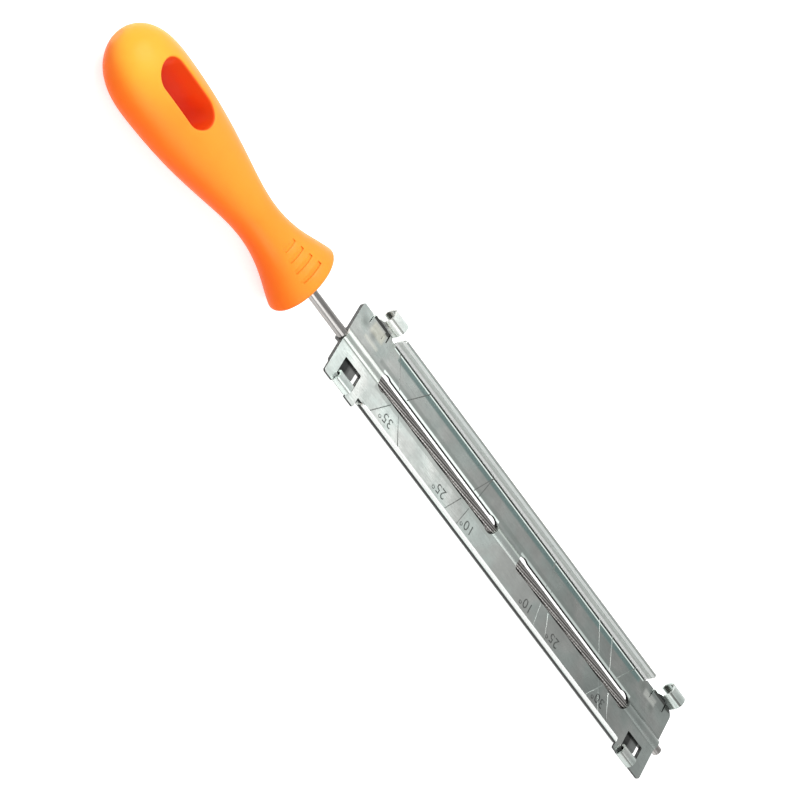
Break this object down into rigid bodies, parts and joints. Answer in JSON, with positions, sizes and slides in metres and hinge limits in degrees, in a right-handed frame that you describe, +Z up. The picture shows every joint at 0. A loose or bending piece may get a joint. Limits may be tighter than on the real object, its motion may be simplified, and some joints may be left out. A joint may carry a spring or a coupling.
{
  "type": "chainsaw file guide",
  "caption": "Round saw-chain file with an oval plastic handle, held between two hinged stamped-steel plates with angle marks and spring clips.",
  "frame": {"origin": "on the file's axis, half way along the two plates", "axes": "+X along the file from the handle to the tip, +Y towards the side with the spring clips, +Z up through the marked side"},
  "size_m": [0.3326, 0.038, 0.0234],
  "materials": {
    "orange_plastic": "satin moulded plastic",
    "file_steel": "hardened steel with cut teeth and a smooth shank",
    "lower_zinc": "bright zinc-plated sheet steel",
    "upper_zinc": "bright zinc-plated sheet steel with stamped marks",
    "clip_zinc": "bright zinc-plated sheet steel"
  },
  "bodies": {
    "holder": {"lower_plate": "lower_zinc"},
    "lid": {"upper_plate": "upper_zinc"},
    "rear_clip": {"latch_clip_rear": "clip_zinc"},
    "front_clip": {"latch_clip_front": "clip_zinc"},
    "file_and_handle": {"file": "file_steel", "handle": "orange_plastic"}
  },
  "joints": [
    {"name": "plate_hinge", "type": "hinge", "parent": "holder", "child": "lid", "pos_m": [0, -0.0144, 0.00195], "axis": [1, 0, 0], "range_deg": [0, 92]},
    {"name": "clip_rear_flex", "type": "hinge", "parent": "holder", "child": "rear_clip", "pos_m": [-0.0879, 0.0132, 0.00011], "axis": [-1, 0, 0], "range_deg": [0, 12], "stiffness_Nm_per_rad": 0.7},
    {"name": "clip_front_flex", "type": "hinge", "parent": "holder", "child": "front_clip", "pos_m": [0.0928, 0.0132, 0.00011], "axis": [-1, 0, 0], "range_deg": [0, 12], "stiffness_Nm_per_rad": 0.7},
    {"name": "file_turn", "type": "hinge", "parent": "holder", "child": "file_and_handle", "pos_m": [0, 0, 0], "axis": [1, 0, 0], "continuous": true}
  ]
}
